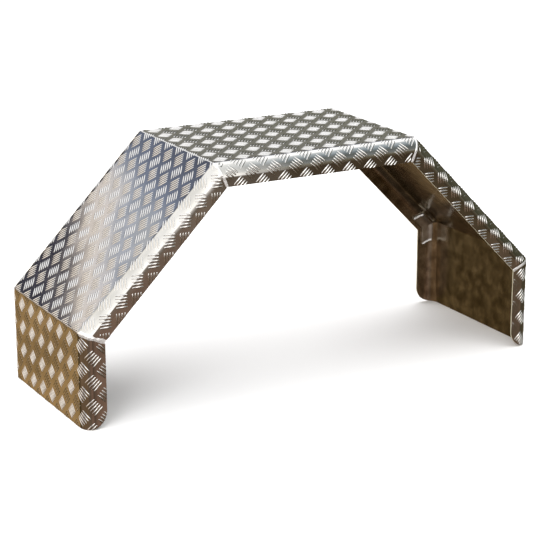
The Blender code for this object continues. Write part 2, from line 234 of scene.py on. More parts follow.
def half_columns(inset):
    """Points (depth, y, distance across) of the +Y half of the cross-section, from the middle out."""
    flat = [0.0, FLAT_HALF / 2, FLAT_HALF - HOLD]
    bend = np.linspace(FLAT_HALF, BEND_END, BEND_STEPS + 1)
    flange = [BEND_END + d - BEND_RADIUS for d in [BEND_RADIUS + HOLD] + flange_depths()]
    across = np.array(flat + list(bend) + flange)
    depth, y = cross_points(across, np.full(across.shape, -inset))
    return list(zip(depth, y, across))


def section_rows():
    """Cross-section points of the outer face and of the inner face, each from -Y to +Y."""
    outer = half_columns(0.0)
    inner = half_columns(SHEET)
    outer_row = [(d, -y, -a) for d, y, a in outer[:0:-1]] + outer
    inner_row = [(d, -y, -a) for d, y, a in inner[:0:-1]] + inner
    return outer_row, inner_row


def foot_point(depth):
    """Side-view point on the cut end of a leg, which rises round the flange's corner."""
    over = max(depth - (FLANGE_DEPTH - CORNER_RADIUS), 0.0)
    rise = CORNER_RADIUS - math.sqrt(max(CORNER_RADIUS ** 2 - over ** 2, 0.0))
    return np.array((HALF_REACH - depth, rise))


def between(start, end, share, offset=0.0):
    """Ring function part of the way from one ring to the next, with an offset in metres."""
    def ring(depth):
        a, b = start(depth), end(depth)
        length = np.linalg.norm(b - a)
        return a + (b - a) * (share + offset / length)
    return ring


def half_rings():
    """Rings of the +X half from the middle of the top to the foot, each with its distance along."""
    def middle(depth):
        return np.array((0.0, TOP_HEIGHT - depth))

    def fold_ring(fold, share):
        return lambda depth: fold.point(share, depth)

    upper_in, upper_out = fold_ring(UPPER, 0.0), fold_ring(UPPER, 1.0)
    lower_in, lower_out = fold_ring(LOWER, 0.0), fold_ring(LOWER, 1.0)
    rings = [(middle, 0.0), (between(middle, upper_in, 0.5), UPPER_START / 2),
             (between(middle, upper_in, 1.0, -HOLD), UPPER_START - HOLD)]
    rings += fold_stations(UPPER, fold_ring, UPPER_START, UPPER_END)
    rings.append((between(upper_out, lower_in, 0.0, HOLD), UPPER_END + HOLD))
    rings += [(between(upper_out, lower_in, s), UPPER_END + s * (LOWER_START - UPPER_END))
              for s in (0.25, 0.5, 0.75)]
    rings.append((between(upper_out, lower_in, 1.0, -HOLD), LOWER_START - HOLD))
    rings += fold_stations(LOWER, fold_ring, LOWER_START, LOWER_END)
    rings.append((between(lower_out, foot_point, 0.0, HOLD), LOWER_END + HOLD))
    rings += [(between(lower_out, foot_point, s), LOWER_END + s * (FOOT - LOWER_END))
              for s in (0.3, 0.6, 0.85)]
    rings.append((between(lower_out, foot_point, 1.0, -HOLD), FOOT - HOLD))
    rings.append((foot_point, FOOT))
    return rings


def fold_stations(fold, fold_ring, start, end):
    """Rings through one fold."""
    return [(fold_ring(fold, step / FOLD_STEPS), start + (end - start) * step / FOLD_STEPS)
            for step in range(FOLD_STEPS + 1)]


def build_sheet(materials):
    """The folded plate with true bends, as a closed thin sheet."""
    outer_row, inner_row = section_rows()
    half = half_rings()
    rings = [(ring, distance, -1) for ring, distance in half[:0:-1]]
    rings += [(ring, distance, 1) for ring, distance in half]
    points, flat = [], []
    columns = len(outer_row)
    for ring, distance, side in rings:
        for row in (outer_row, inner_row):
            for depth, y, across in row:
                x, z = ring(depth)
                points.append((side * x, y, z))
                flat.append((side * distance, across))
    faces, kinds = [], []
    stride = 2 * columns
    for r in range(len(rings) - 1):
        a, b = r * stride, (r + 1) * stride
        for c in range(columns - 1):
            faces.append((a + c, a + c + 1, b + c + 1, b + c))
            kinds.append(0)
            faces.append((a + columns + c, b + columns + c, b + columns + c + 1, a + columns + c + 1))
            kinds.append(1)
        for c in (0, columns - 1):
            faces.append((a + c, b + c, b + columns + c, a + columns + c))
            kinds.append(2)
    for r in (0, len(rings) - 1):
        a = r * stride
        for c in range(columns - 1):
            faces.append((a + c, a + columns + c, a + columns + c + 1, a + c + 1))
            kinds.append(2)
    piece = mesh_object("plate_sheet", points, faces, materials)
    mesh = piece.data
    layer = mesh.uv_layers.new(name="flat")
    for polygon in mesh.polygons:
        for loop_index in polygon.loop_indices:
            layer.data[loop_index].uv = flat[mesh.loops[loop_index].vertex_index]
    for polygon, kind in zip(mesh.polygons, kinds):
        polygon.material_index = kind
    mesh.set_sharp_from_angle(angle=math.radians(32))
    bevel = piece.modifiers.new("worn_edges", "BEVEL")
    bevel.width = WORN_EDGE
    bevel.segments = EDGE_SEGMENTS
    bevel.limit_method = "ANGLE"
    bevel.angle_limit = math.radians(60)
    return piece


# Raised bars

def keep_margin(along, across):
    """How far inside the tread's outline points of the flat blank lie, negative outside."""
    reach, wide = np.abs(along), np.abs(across)
    depth, _ = cross_points(wide, np.zeros_like(wide))
    margin = HALF_BLANK - wide
    over = np.clip(depth - (FLANGE_DEPTH - CORNER_RADIUS), 0, CORNER_RADIUS)
    rise = CORNER_RADIUS - np.sqrt(CORNER_RADIUS ** 2 - over ** 2)
    margin = np.minimum(margin, FOOT - rise - reach)
    for fold, start, end in ((UPPER, UPPER_START, UPPER_END), (LOWER, LOWER_START, LOWER_END)):
        slant = math.tan(fold.turn / 2)
        setback = depth * slant + WELD_HALF_WIDTH / math.cos(fold.turn / 2)
        before = start + fold.tangent - setback - reach
        after = reach - (end - fold.tangent) - setback
        beside = np.maximum(before, after)
        on_bend = wide > FLAT_HALF + WELD_START
        margin = np.where(on_bend, np.minimum(margin, beside), margin)
    return margin


def bar_spans(centre, direction):
    """Stretches of each long line of one bar that lie inside the outline, as shares of its length."""
    shares = np.linspace(-1, 1, SEARCH_STEPS)
    across_way = np.array((-direction[1], direction[0]))
    offsets = BAR_LINES * BAR_WIDTH / 2
    points = (centre + shares[None, :, None] * direction * BAR_LENGTH / 2
              + offsets[:, None, None] * across_way)
    inside = keep_margin(points[..., 0], points[..., 1]) > 0
    if inside.all():
        return [(np.full(len(BAR_LINES), -1.0), np.full(len(BAR_LINES), 1.0))]
    middle = inside[MIDDLE_LINE]
    if not middle.any():
        return []
    spans = []
    edges = np.flatnonzero(np.diff(np.concatenate(([0], middle.astype(int), [0]))))
    for first, last in zip(edges[::2], edges[1::2] - 1):
        if (shares[last] - shares[first]) * BAR_LENGTH / 2 < SHORTEST_BAR:
            continue
        low = np.array([line_end(row, first, -1) for row in inside])
        high = np.array([line_end(row, last, 1) for row in inside])
        spans.append((shares[low], shares[np.maximum(high, low)]))
    return spans


def line_end(inside, index, way):
    """Last inside sample of a line, searched from where the bar's middle line ends."""
    start = index
    while not inside[index]:
        index -= way
        if not 0 <= index < SEARCH_STEPS:
            return start
    while 0 <= index + way < SEARCH_STEPS and inside[index + way]:
        index += way
    return index


def panel_of(along):
    """Name of the panel that a distance along the plate lies on."""
    reach = abs(along)
    if reach < (UPPER_START + UPPER_END) / 2:
        return "tread_top"
    side = "front" if along > 0 else "rear"
    return "tread_%s_%s" % (side, "slope" if reach < (LOWER_START + LOWER_END) / 2 else "leg")


def build_bars(material):
    """Every bar of the tread, as one piece for each panel."""
    panels = {}
    half_pitch = TREAD_PITCH / 2
    columns = math.ceil(FOOT / half_pitch) + 1
    rows = math.ceil(HALF_BLANK / half_pitch) + 1
    rng = np.random.default_rng(5)
    for column in range(-columns, columns + 1):
        for row in range(-rows, rows + 1):
            if (column + row) % 2:
                continue
            way = -1 if column % 2 == 0 else 1
            along = np.array((1.0, way)) / math.sqrt(2)
            beside = np.array((-along[1], along[0]))
            group = np.array((TREAD_SHIFT[0] + column * half_pitch, TREAD_SHIFT[1] + row * half_pitch))
            for bar in range(BARS_IN_GROUP):
                place = (bar - (BARS_IN_GROUP - 1) / 2) * BAR_SPACING
                centre = group + beside * place
                height = BAR_HEIGHT * (1 - BAR_UNEVENNESS * rng.random())
                for low, high in bar_spans(centre, along):
                    add_bar(panels, centre, along, beside, low, high, height)
    pieces = []
    for name, (points, faces) in panels.items():
        pieces.append(mesh_object(name, np.concatenate(points), np.concatenate(faces), [material]))
    return pieces


def drawn_in(flat):
    """Points of a bar, with those past the plate's outline drawn in towards its middle line."""
    middle = flat[:, MIDDLE_LINE:MIDDLE_LINE + 1]
    for _ in range(DRAW_IN_STEPS):
        outside = keep_margin(flat[..., 0], flat[..., 1]) < 0
        flat = np.where(outside[..., None], (flat + middle) / 2, flat)
    return flat


def add_bar(panels, centre, along, beside, low, high, height):
    """One bar: a long low lens with rounded top and narrow ends, cut where the plate is cut."""
    rings, lines = len(BAR_RINGS), len(BAR_LINES)
    shares = low[None, :] + (BAR_RINGS[:, None] + 1) / 2 * (high - low)[None, :]
    fullness = np.maximum(1 - np.abs(shares) ** BAR_TAPER, 0)
    half_width = BAR_WIDTH / 2 * (BAR_END_WIDTH + (1 - BAR_END_WIDTH) * np.sqrt(fullness))
    raised = height * fullness ** BAR_CROWN * BAR_LINE_HEIGHTS[None, :] - BAR_SINK
    flat = (centre + shares[..., None] * along * BAR_LENGTH / 2
            + (half_width * BAR_LINES[None, :])[..., None] * beside)
    flat = drawn_in(flat)
    points = folded(flat[..., 0].ravel(), flat[..., 1].ravel(), raised.ravel())
    index = np.arange(rings * lines).reshape(rings, lines)
    faces = np.stack((index[:-1, :-1], index[:-1, 1:], index[1:, 1:], index[1:, :-1]),
                     axis=-1).reshape(-1, 4)
    store = panels.setdefault(panel_of(centre[0]), ([], []))
    store[1].append(faces + sum(len(p) for p in store[0]))
    store[0].append(points)


# Welds along the mitres

def surface_beside(fold, offset, depth):
    """Side-view point on the outer face beside a fold, a signed distance from its middle."""
    tangent = max(FOLD_RADIUS - depth, 0.0) * math.tan(fold.turn / 2)
    if abs(offset) <= tangent and tangent > 0:
        return fold.point(0.5 + offset / tangent / 2, depth)
    share = 1.0 if offset > 0 else 0.0
    angle = fold.angle_in + fold.turn * share
    way = np.array((math.cos(angle), -math.sin(angle)))
    return fold.point(share, depth) + way * (offset - math.copysign(tangent, offset))


def build_welds(material):
    """The ground weld along each mitre, from the start of the bend to the flange's free edge."""
    points, faces = [], []
    stations = np.linspace(FLAT_HALF + WELD_START, HALF_BLANK - WELD_END_GAP, WELD_STEPS + 1)
    rng = np.random.default_rng(11)
    for fold, strips in ((UPPER, UPPER_STRIPS), (LOWER, LOWER_STRIPS)):
        for side_x, strip in zip((-1, 1), strips):
            for side_y in (-1, 1):
                draws = rng.normal(size=WELD_STEPS + RIPPLE_SPAN)
                ripple = np.convolve(draws, np.ones(RIPPLE_SPAN) / RIPPLE_SPAN, "valid")
                widths = strip * (1.0 + RIPPLE_IN_WIDTH * ripple)
                widths *= np.clip(WELD_TIP_SHARE + np.arange(WELD_STEPS + 1) / WELD_TIP_STEPS, 0, 1)
                start = len(points)
                for across, width, wave in zip(stations, widths, ripple):
                    crest = WELD_RISE * (1 + RIPPLE_IN_RISE * wave)
                    for offset in WELD_OFFSETS:
                        rise = crest * (1 - offset ** 2) - WELD_SINK * offset ** 2
                        depth, y = cross_points(np.array([across]), np.array([rise]))
                        x, z = surface_beside(fold, offset * width, float(depth[0]))
                        points.append((side_x * x, side_y * y[0], z))
                lines = len(WELD_OFFSETS)
                for r in range(WELD_STEPS):
                    for c in range(lines - 1):
                        a = start + r * lines + c
                        faces.append((a, a + 1, a + lines + 1, a + lines))
    return mesh_object("ground_welds", points, faces, [material])


# Doubler inside the far flange

def strap_row(inset):
    """Points (depth, y) across the doubler at an inset from the plate's outer face."""
    across = np.linspace(STRAP_START, HALF_BLANK - STRAP_EDGE_INSET, STRAP_COLUMNS)
    depth, y = cross_points(across, np.full(STRAP_COLUMNS, -inset))
    return list(zip(depth, y))


def build_strap(material):
    """The small plate, bent over the mitre, with softened edges."""
    seat = strap_row(SHEET + STRAP_GAP)
    face = strap_row(SHEET + STRAP_GAP + STRAP_THICKNESS)
    loop = seat + face[::-1]

    def slope_end(depth):
        return surface_beside(LOWER, -STRAP_UP_SLOPE, depth)

    def mitre(depth):
        return LOWER.point(0.5, depth)

    def leg_end(depth):
        return surface_beside(LOWER, STRAP_DOWN_LEG, depth)

    rings = [slope_end, between(slope_end, mitre, 0.5), between(slope_end, mitre, 1.0, -HOLD), mitre,
             between(mitre, leg_end, 0.0, HOLD), between(mitre, leg_end, 0.5), leg_end]
    points = [(x, y, z) for ring in rings for depth, y in loop for x, z in (ring(depth),)]
    size = len(loop)
    faces = []
    for start in range(0, (len(rings) - 1) * size, size):
        for c in range(size):
            n = (c + 1) % size
            faces.append((start + c, start + n, start + size + n, start + size + c))
    for start in (0, (len(rings) - 1) * size):
        faces += [(start + c, start + c + 1, start + size - 2 - c, start + size - 1 - c)
                  for c in range(STRAP_COLUMNS - 1)]
    strap = mesh_object("doubler_strap", points, faces, [material])
    strap.data.set_sharp_from_angle(angle=math.radians(30))
    bevel = strap.modifiers.new("soft_edges", "BEVEL")
    bevel.width = SOFT_EDGE
    bevel.segments = EDGE_SEGMENTS
    bevel.limit_method = "ANGLE"
    bevel.angle_limit = math.radians(50)
    return strap


def build_beads(material):
    """The two lumpy beads that hold the doubler at its ends."""
    points, faces = [], []
    rng = np.random.default_rng(3)
    inset = SHEET + STRAP_GAP + BEAD_RADIUS
    across = np.linspace(STRAP_START + BEAD_END_GAP, HALF_BLANK - STRAP_EDGE_INSET - BEAD_END_GAP,
                         BEAD_STEPS + 1)
    for offset in (-STRAP_UP_SLOPE, STRAP_DOWN_LEG):
        start = len(points)
        path = []
        for place in across:
            depth, y = cross_points(np.array([place]), np.array([-inset]))
            x, z = surface_beside(LOWER, offset, float(depth[0]))
            path.append(Vector((x, y[0], z)))
        phase = rng.random() * 6
        for step, centre in enumerate(path):
            ahead = path[min(step + 1, BEAD_STEPS)] - path[max(step - 1, 0)]
            ahead.normalize()
            guide = Vector((0, 1, 0)) if abs(ahead.y) < 0.9 else Vector((1, 0, 0))
            side = ahead.cross(guide).normalized()
            other = ahead.cross(side)
            ends = min(1.0, BEAD_TIP_SHARE + min(step, BEAD_STEPS - step) / BEAD_TIP_STEPS)
            swell = BEAD_SWELL * math.sin(step * BEAD_BEAT + phase)
            lump = BEAD_MEAN + swell + BEAD_ROUGHNESS * rng.normal()
            radius = BEAD_RADIUS * min(lump, BEAD_LARGEST) * ends
            for k in range(BEAD_SIDES):
                angle = 2 * math.pi * k / BEAD_SIDES
                points.append(centre + side * math.cos(angle) * radius + other * math.sin(angle) * radius)
        for r in range(BEAD_STEPS):
            for k in range(BEAD_SIDES):
                a, b = start + r * BEAD_SIDES, start + (r + 1) * BEAD_SIDES
                n = (k + 1) % BEAD_SIDES
                faces.append((a + k, a + n, b + n, b + k))
        last = start + BEAD_STEPS * BEAD_SIDES
        faces.append(tuple(range(start, start + BEAD_SIDES)))
        faces.append(tuple(range(last, last + BEAD_SIDES)))
    return mesh_object("doubler_beads", points, faces, [material])


# Materials

def new_metal(name, colour, roughness):
    """Metal material and the tools to add nodes to it."""
    material = bpy.data.materials.new(name)
    material.use_nodes = True
    shader = material.node_tree.nodes["Principled BSDF"]
    shader.inputs["Base Color"].default_value = (*colour, 1)
    shader.inputs["Metallic"].default_value = 1.0
    shader.inputs["Roughness"].default_value = roughness
    return material, material.node_tree, shader


def noise_node(tree, coordinate, scale, detail=3.0, stretch=(1, 1, 1)):
    """Noise over a coordinate that is stretched first."""
    mapping = tree.nodes.new("ShaderNodeMapping")
    mapping.inputs["Scale"].default_value = stretch
    tree.links.new(coordinate, mapping.inputs["Vector"])
    noise = tree.nodes.new("ShaderNodeTexNoise")
    noise.inputs["Scale"].default_value = scale
    noise.inputs["Detail"].default_value = detail
    tree.links.new(mapping.outputs["Vector"], noise.inputs["Vector"])
    return noise.outputs["Fac"]


def ramp_node(tree, factor, stops):
    """Colour ramp with (position, colour) stops."""
    ramp = tree.nodes.new("ShaderNodeValToRGB")
    elements = ramp.color_ramp.elements
    while len(elements) < len(stops):
        elements.new(0.5)
    for element, (position, colour) in zip(elements, stops):
        element.position = position
        element.color = (*colour, 1)
    tree.links.new(factor, ramp.inputs["Fac"])
    return ramp.outputs["Color"]


def range_node(tree, value, low, high):
    """Maps a 0 to 1 value to a range."""
    node = tree.nodes.new("ShaderNodeMapRange")
    node.inputs["To Min"].default_value = low
    node.inputs["To Max"].default_value = high
    tree.links.new(value, node.inputs["Value"])
    return node.outputs["Result"]


def bump_node(tree, height, distance, strength=1.0, normal=None):
    """Bump from a height, on top of another bump where one is given."""
    bump = tree.nodes.new("ShaderNodeBump")
    bump.inputs["Distance"].default_value = distance
    bump.inputs["Strength"].default_value = strength
    tree.links.new(height, bump.inputs["Height"])
    if normal is not None:
        tree.links.new(normal, bump.inputs["Normal"])
    return bump.outputs["Normal"]


def coordinate_node(tree, kind):
    """Object coordinates, or the flat blank's coordinates."""
    if kind == "flat":
        node = tree.nodes.new("ShaderNodeUVMap")
        node.uv_map = "flat"
        return node.outputs["UV"]
    return tree.nodes.new("ShaderNodeTexCoord").outputs["Object"]


def outer_sheet_material():
    """Mill finish between the bars: fine rolling lines, slow waves and faint stains."""
    material, tree, shader = new_metal("mill_outer", (0.74, 0.73, 0.70), 0.24)
    flat = coordinate_node(tree, "flat")
    lines = noise_node(tree, flat, 900, 2.0, (0.03, 1, 1))
    stains = noise_node(tree, flat, 26, 5.0)
    waves = noise_node(tree, flat, 9, 1.0)
    grain = noise_node(tree, flat, 2400, 2.0)
    tree.links.new(ramp_node(tree, stains, ((0.30, (0.62, 0.61, 0.58)), (0.70, (0.80, 0.79, 0.77)))),
                   shader.inputs["Base Color"])
    tree.links.new(range_node(tree, stains, 0.035, 0.09), shader.inputs["Roughness"])
    slow = bump_node(tree, waves, 0.0006, 0.5)
    rolled = bump_node(tree, lines, 0.000008, 0.4, slow)
    tree.links.new(bump_node(tree, grain, 0.000003, 0.3, rolled), shader.inputs["Normal"])
    return material


def inner_sheet_painted_shade_material():
    """Smooth inner face: a duller mill finish with mottling, its colour darkened and browned as painted shade
    under the guard.
    """
    material, tree, shader = new_metal("mill_inner_painted_shade", (0.72, 0.70, 0.66), 0.32)
    flat = coordinate_node(tree, "flat")
    mottling = noise_node(tree, flat, 46, 8.0)
    lines = noise_node(tree, flat, 700, 2.0, (0.04, 1, 1))
    waves = noise_node(tree, flat, 14, 2.0)
    # Painted shade: this mottled base colour is darker and browner than the outer face's, standing in for the
    # shade under the guard
    tree.links.new(ramp_node(tree, mottling, ((0.33, (0.29, 0.245, 0.18)), (0.67, (0.70, 0.64, 0.53)))),
                   shader.inputs["Base Color"])
    tree.links.new(range_node(tree, mottling, 0.12, 0.26), shader.inputs["Roughness"])
    slow = bump_node(tree, waves, 0.0009, 0.6)
    tree.links.new(bump_node(tree, lines, 0.00003, 0.6, slow), shader.inputs["Normal"])
    return material


def cut_edge_material():
    """Sheared edge of the plate, bright with fine tear marks."""
    material, tree, shader = new_metal("cut_edge", (0.88, 0.83, 0.64), 0.40)
    shader.inputs["Metallic"].default_value = 0.65
    place = coordinate_node(tree, "object")
    marks = noise_node(tree, place, 1500, 2.0)
    tree.links.new(range_node(tree, marks, 0.2, 0.42), shader.inputs["Roughness"])
    tree.links.new(bump_node(tree, marks, 0.00005, 0.6), shader.inputs["Normal"])
    return material


def bar_material():
    """Tops of the bars, polished by the rolls and by handling."""
    material, tree, shader = new_metal("bar_tops", (0.90, 0.89, 0.87), 0.16)
    place = coordinate_node(tree, "object")
    wear = noise_node(tree, place, 60, 4.0)
    grain = noise_node(tree, place, 2200, 2.0)
    tree.links.new(ramp_node(tree, wear, ((0.30, (0.80, 0.79, 0.76)), (0.65, (0.93, 0.92, 0.90)))),
                   shader.inputs["Base Color"])
    tree.links.new(range_node(tree, wear, 0.12, 0.22), shader.inputs["Roughness"])
    tree.links.new(bump_node(tree, grain, 0.000005, 0.3), shader.inputs["Normal"])
    return material


def weld_material():
    """Weld ground flush: bright, with grinding scratches."""
    material, tree, shader = new_metal("ground_weld", (0.95, 0.94, 0.94), 0.30)
    shader.inputs["Metallic"].default_value = 0.78
    place = coordinate_node(tree, "object")
    scratches = noise_node(tree, place, 1300, 3.0, (1, 0.12, 0.5))
    patches = noise_node(tree, place, 190, 3.0)
    tree.links.new(range_node(tree, patches, 0.18, 0.42), shader.inputs["Roughness"])
    tree.links.new(ramp_node(tree, patches, ((0.30, (0.80, 0.79, 0.78)), (0.60, (0.95, 0.94, 0.93)))),
                   shader.inputs["Base Color"])
    lumps = bump_node(tree, patches, 0.0011, 0.8)
    tree.links.new(bump_node(tree, scratches, 0.00006, 0.8, lumps), shader.inputs["Normal"])
    return material


def strap_material():
    """Plain plate of the doubler."""
    material, tree, shader = new_metal("doubler_mill", (0.66, 0.64, 0.60), 0.30)
    place = coordinate_node(tree, "object")
    mottling = noise_node(tree, place, 55, 5.0)
    tree.links.new(ramp_node(tree, mottling, ((0.32, (0.52, 0.49, 0.45)), (0.68, (0.76, 0.74, 0.70)))),
                   shader.inputs["Base Color"])
    tree.links.new(range_node(tree, mottling, 0.22, 0.42), shader.inputs["Roughness"])
    tree.links.new(bump_node(tree, mottling, 0.0010, 0.6), shader.inputs["Normal"])
    return material


def bead_material():
    """Weld metal left as it was laid: bright and rippled."""
    material, tree, shader = new_metal("weld_bead", (0.94, 0.93, 0.91), 0.40)
    shader.inputs["Metallic"].default_value = 0.35
    place = coordinate_node(tree, "object")
    ripples = noise_node(tree, place, 420, 3.0)
    tree.links.new(range_node(tree, ripples, 0.24, 0.46), shader.inputs["Roughness"])
    tree.links.new(bump_node(tree, ripples, 0.0005, 0.8), shader.inputs["Normal"])
    return material


# Studio

# Brightness and colour of the surroundings by elevation in degrees, for each side
GROUND = ((-90, (0.150, 0.105, 0.060)), (-46, (0.190, 0.130, 0.070)))
AHEAD = GROUND + ((-39, (0.120, 0.080, 0.035)), (-33, (0.050, 0.032, 0.014)), (-26, (0.190, 0.120, 0.050)),
                  (-19, (0.400, 0.250, 0.105)), (-10, (0.200, 0.140, 0.070)), (0, (0.090, 0.078, 0.050)),
                  (10, (0.070, 0.075, 0.080)), (17, (0.055, 0.055, 0.075)), (90, (0.050, 0.050, 0.075)))
AHEAD_BAND = ((20, (0.050, 0.050, 0.075)), (21.30, (0.050, 0.050, 0.075)), (21.52, (0.720, 0.640, 0.580)),
              (21.80, (1.400, 1.240, 1.110)), (22.08, (1.120, 1.050, 1.000)), (22.40, (0.500, 0.545, 0.650)),
              (22.75, (0.355, 0.415, 0.550)), (23.2, (0.530, 0.560, 0.620)), (23.7, (0.640, 0.640, 0.650)),
              (27, (0.600, 0.630, 0.670)))
AHEAD_HIGH = ((-90, (0.050, 0.050, 0.075)), (23.2, (0.500, 0.560, 0.680)), (24.6, (0.210, 0.245, 0.345)),
              (26.5, (0.115, 0.130, 0.180)), (30, (0.120, 0.135, 0.190)), (35, (1.000, 1.000, 1.030)),
              (45, (1.120, 1.120, 1.150)), (90, (1.120, 1.120, 1.150)))
AHEAD_RIGHT = GROUND + ((-30, (0.050, 0.034, 0.016)), (-10, (0.130, 0.105, 0.060)),
                        (2, (0.110, 0.110, 0.070)), (9, (0.210, 0.205, 0.150)), (13, (0.245, 0.240, 0.210)),
                        (17, (0.140, 0.140, 0.150)), (22, (0.110, 0.115, 0.150)), (27, (0.300, 0.310, 0.370)),
                        (33, (1.150, 1.150, 1.180)), (40, (1.600, 1.600, 1.620)), (90, (1.500, 1.500, 1.520)))
BEHIND = ((-90, (0.030, 0.022, 0.014)), (-30, (0.120, 0.078, 0.054)), (-20.2, (0.205, 0.125, 0.088)),
          (-10, (0.180, 0.135, 0.100)), (-7, (0.170, 0.145, 0.120)), (-3.5, (0.900, 0.860, 0.840)),
          (1, (2.400, 2.360, 2.320)), (11, (2.400, 2.370, 2.340)), (16, (1.600, 1.570, 1.530)),
          (50, (1.350, 1.320, 1.270)), (90, (1.100, 1.100, 1.120)))
BEHIND_LEANING = ((-90, (0.030, 0.022, 0.014)), (-35, (0.120, 0.078, 0.054)), (-13.7, (0.205, 0.125, 0.088)),
                  (-8, (0.220, 0.155, 0.118)), (-4, (0.185, 0.150, 0.120)), (-1, (0.600, 0.560, 0.530)),
                  (2, (2.400, 2.360, 2.320)), (15, (2.200, 2.160, 2.120)), (24, (1.600, 1.580, 1.550)),
                  (90, (1.300, 1.290, 1.270)))
BEHIND_HIGH = ((-90, (0.700, 0.710, 0.730)), (90, (0.820, 0.830, 0.850)))
BEHIND_LEFT = ((-90, (0.060, 0.044, 0.030)), (-30, (0.150, 0.105, 0.072)), (-20, (0.140, 0.096, 0.066)),
               (-10, (0.180, 0.130, 0.095)), (-4, (0.600, 0.540, 0.480)), (3, (1.900, 1.850, 1.800)),
               (11, (1.700, 1.660, 1.620)), (18, (0.800, 0.790, 0.780)), (25, (0.780, 0.780, 0.780)),
               (31, (1.350, 1.330, 1.300)), (60, (1.250, 1.240, 1.220)), (90, (1.100, 1.100, 1.120)))
BEHIND_RIGHT = ((-90, (0.030, 0.022, 0.014)), (-30, (0.080, 0.052, 0.034)), (-17.7, (0.140, 0.095, 0.065)),
                (-14.7, (0.084, 0.060, 0.033)), (-13.2, (0.060, 0.042, 0.026)), (-6, (0.110, 0.088, 0.054)),
                (4, (0.185, 0.165, 0.120)), (12, (0.230, 0.235, 0.210)), (20, (0.210, 0.220, 0.220)),
                (32, (0.160, 0.170, 0.160)), (42, (0.190, 0.215, 0.220)), (50, (0.260, 0.305, 0.335)),
                (59, (0.500, 0.560, 0.600)), (68, (1.020, 1.040, 1.060)),
                (75, (1.500, 1.500, 1.520)), (90, (1.500, 1.500, 1.520)))
LOW_RIGHT = ((-90, (0.030, 0.022, 0.014)), (-30, (0.080, 0.052, 0.034)), (-17.7, (0.140, 0.095, 0.065)),
             (-14.7, (0.084, 0.060, 0.033)), (-13.2, (0.060, 0.042, 0.026)), (-6, (0.095, 0.078, 0.048)),
             (3.5, (0.170, 0.155, 0.120)), (6, (1.600, 1.580, 1.560)),
             (10, (1.700, 1.690, 1.680)), (13, (0.240, 0.250, 0.240)), (32, (0.210, 0.250, 0.270)),
             (50, (0.330, 0.390, 0.430)), (62, (0.620, 0.680, 0.720)), (75, (1.400, 1.400, 1.420)),
             (90, (1.400, 1.400, 1.420)))
FAR_RIGHT = GROUND + ((-20, (0.075, 0.060, 0.036)), (0, (0.060, 0.056, 0.034)), (12, (0.100, 0.098, 0.066)),
                      (22, (0.110, 0.112, 0.092)), (36, (0.200, 0.200, 0.180)), (50, (0.400, 0.420, 0.420)),
                      (75, (1.000, 1.000, 1.020)), (90, (1.100, 1.100, 1.120)))
LEFT = ((-90, (0.200, 0.140, 0.080)), (-46, (0.300, 0.205, 0.110)), (-38, (0.260, 0.175, 0.090)),
        (-34, (0.110, 0.072, 0.032)), (-30, (0.048, 0.030, 0.012)), (-18, (0.080, 0.054, 0.021)),
        (-10, (0.110, 0.078, 0.035)), (-5, (0.700, 0.600, 0.530)), (2, (1.200, 1.060, 0.960)),
        (25, (0.960, 0.890, 0.780)), (40, (1.200, 1.180, 1.140)), (90, (1.100, 1.100, 1.120)))
FAR_LEFT = GROUND + ((-30, (0.060, 0.040, 0.020)), (-22, (0.170, 0.108, 0.062)), (-12, (0.200, 0.128, 0.074)),
                     (-8, (0.240, 0.170, 0.110)), (-4, (0.800, 0.680, 0.600)), (2, (1.200, 1.060, 0.960)),
                     (25, (0.960, 0.890, 0.780)), (40, (1.200, 1.180, 1.140)), (90, (1.100, 1.100, 1.120)))
LEFT_SHADE = GROUND + ((-22, (0.170, 0.108, 0.062)), (-12, (0.200, 0.128, 0.074)),
                       (-6, (0.090, 0.075, 0.080)), (8, (0.085, 0.080, 0.120)), (30, (0.110, 0.110, 0.160)),
                       (46, (1.000, 1.000, 1.020)), (90, (1.100, 1.100, 1.120)))
GROUND_PATCHES = 45.0

# Slants of the edges between the surroundings: height gained per share towards +X, and where they turn
BAND_SLANT, BAND_PIVOT = -0.305, 0.29
DARK_SLANT, DARK_PIVOT = 0.528, 0.26
LEANING_SLANT, LEANING_PIVOT = 0.78, -0.235
HIGH_SLANT, HIGH_PIVOT = 0.90, 0.0

# Where one part of the surroundings blends into the next, by a slanted height
BAND_EDGE = (0.344, 0.350)
DARK_EDGE = (0.390, 0.412)
HIGH_EDGE = (0.33, 0.43)

# The same by the direction's share towards +X
AHEAD_RIGHT_EDGE = (0.24, 0.44)
LEANING_EDGE = (-0.20, -0.12)
HIGH_END = (0.15, 0.25)
BEHIND_RIGHT_EDGE = (0.42, 0.49)
LOW_RIGHT_EDGE = (0.53, 0.59)
RIGHT_EDGE = (0.53, 0.64)
LEFT_EDGE = (-0.36, -0.52)
FAR_LEFT_EDGE = (-0.66, -0.80)

# The same by the direction's share towards +Y
BEHIND_EDGE = (0.35, -0.05)
BEHIND_LEFT_EDGE = (-0.20, -0.50)
LEFT_SHADE_EDGE = (-0.20, -0.36)
FAR_RIGHT_EDGE = (-0.62, -0.54)

# The ground's patches: how far they darken and brighten, and where they fade out upwards
PATCH_RANGE = (0.10, 1.90)
GROUND_EDGE = (0.0, -0.20)


def elevation_ramp(tree, height, stops):
    """Colour by elevation between the first and last stop, from a height of -1 to 1."""
    heights = [math.sin(math.radians(angle)) for angle, _ in stops]
    share = tree.nodes.new("ShaderNodeMapRange")
    share.inputs["From Min"].default_value = heights[0]
    share.inputs["From Max"].default_value = heights[-1]
    tree.links.new(height, share.inputs["Value"])
    reach = heights[-1] - heights[0]
    placed = [((up - heights[0]) / reach, colour) for up, (_, colour) in zip(heights, stops)]
    return ramp_node(tree, share.outputs["Result"], placed)


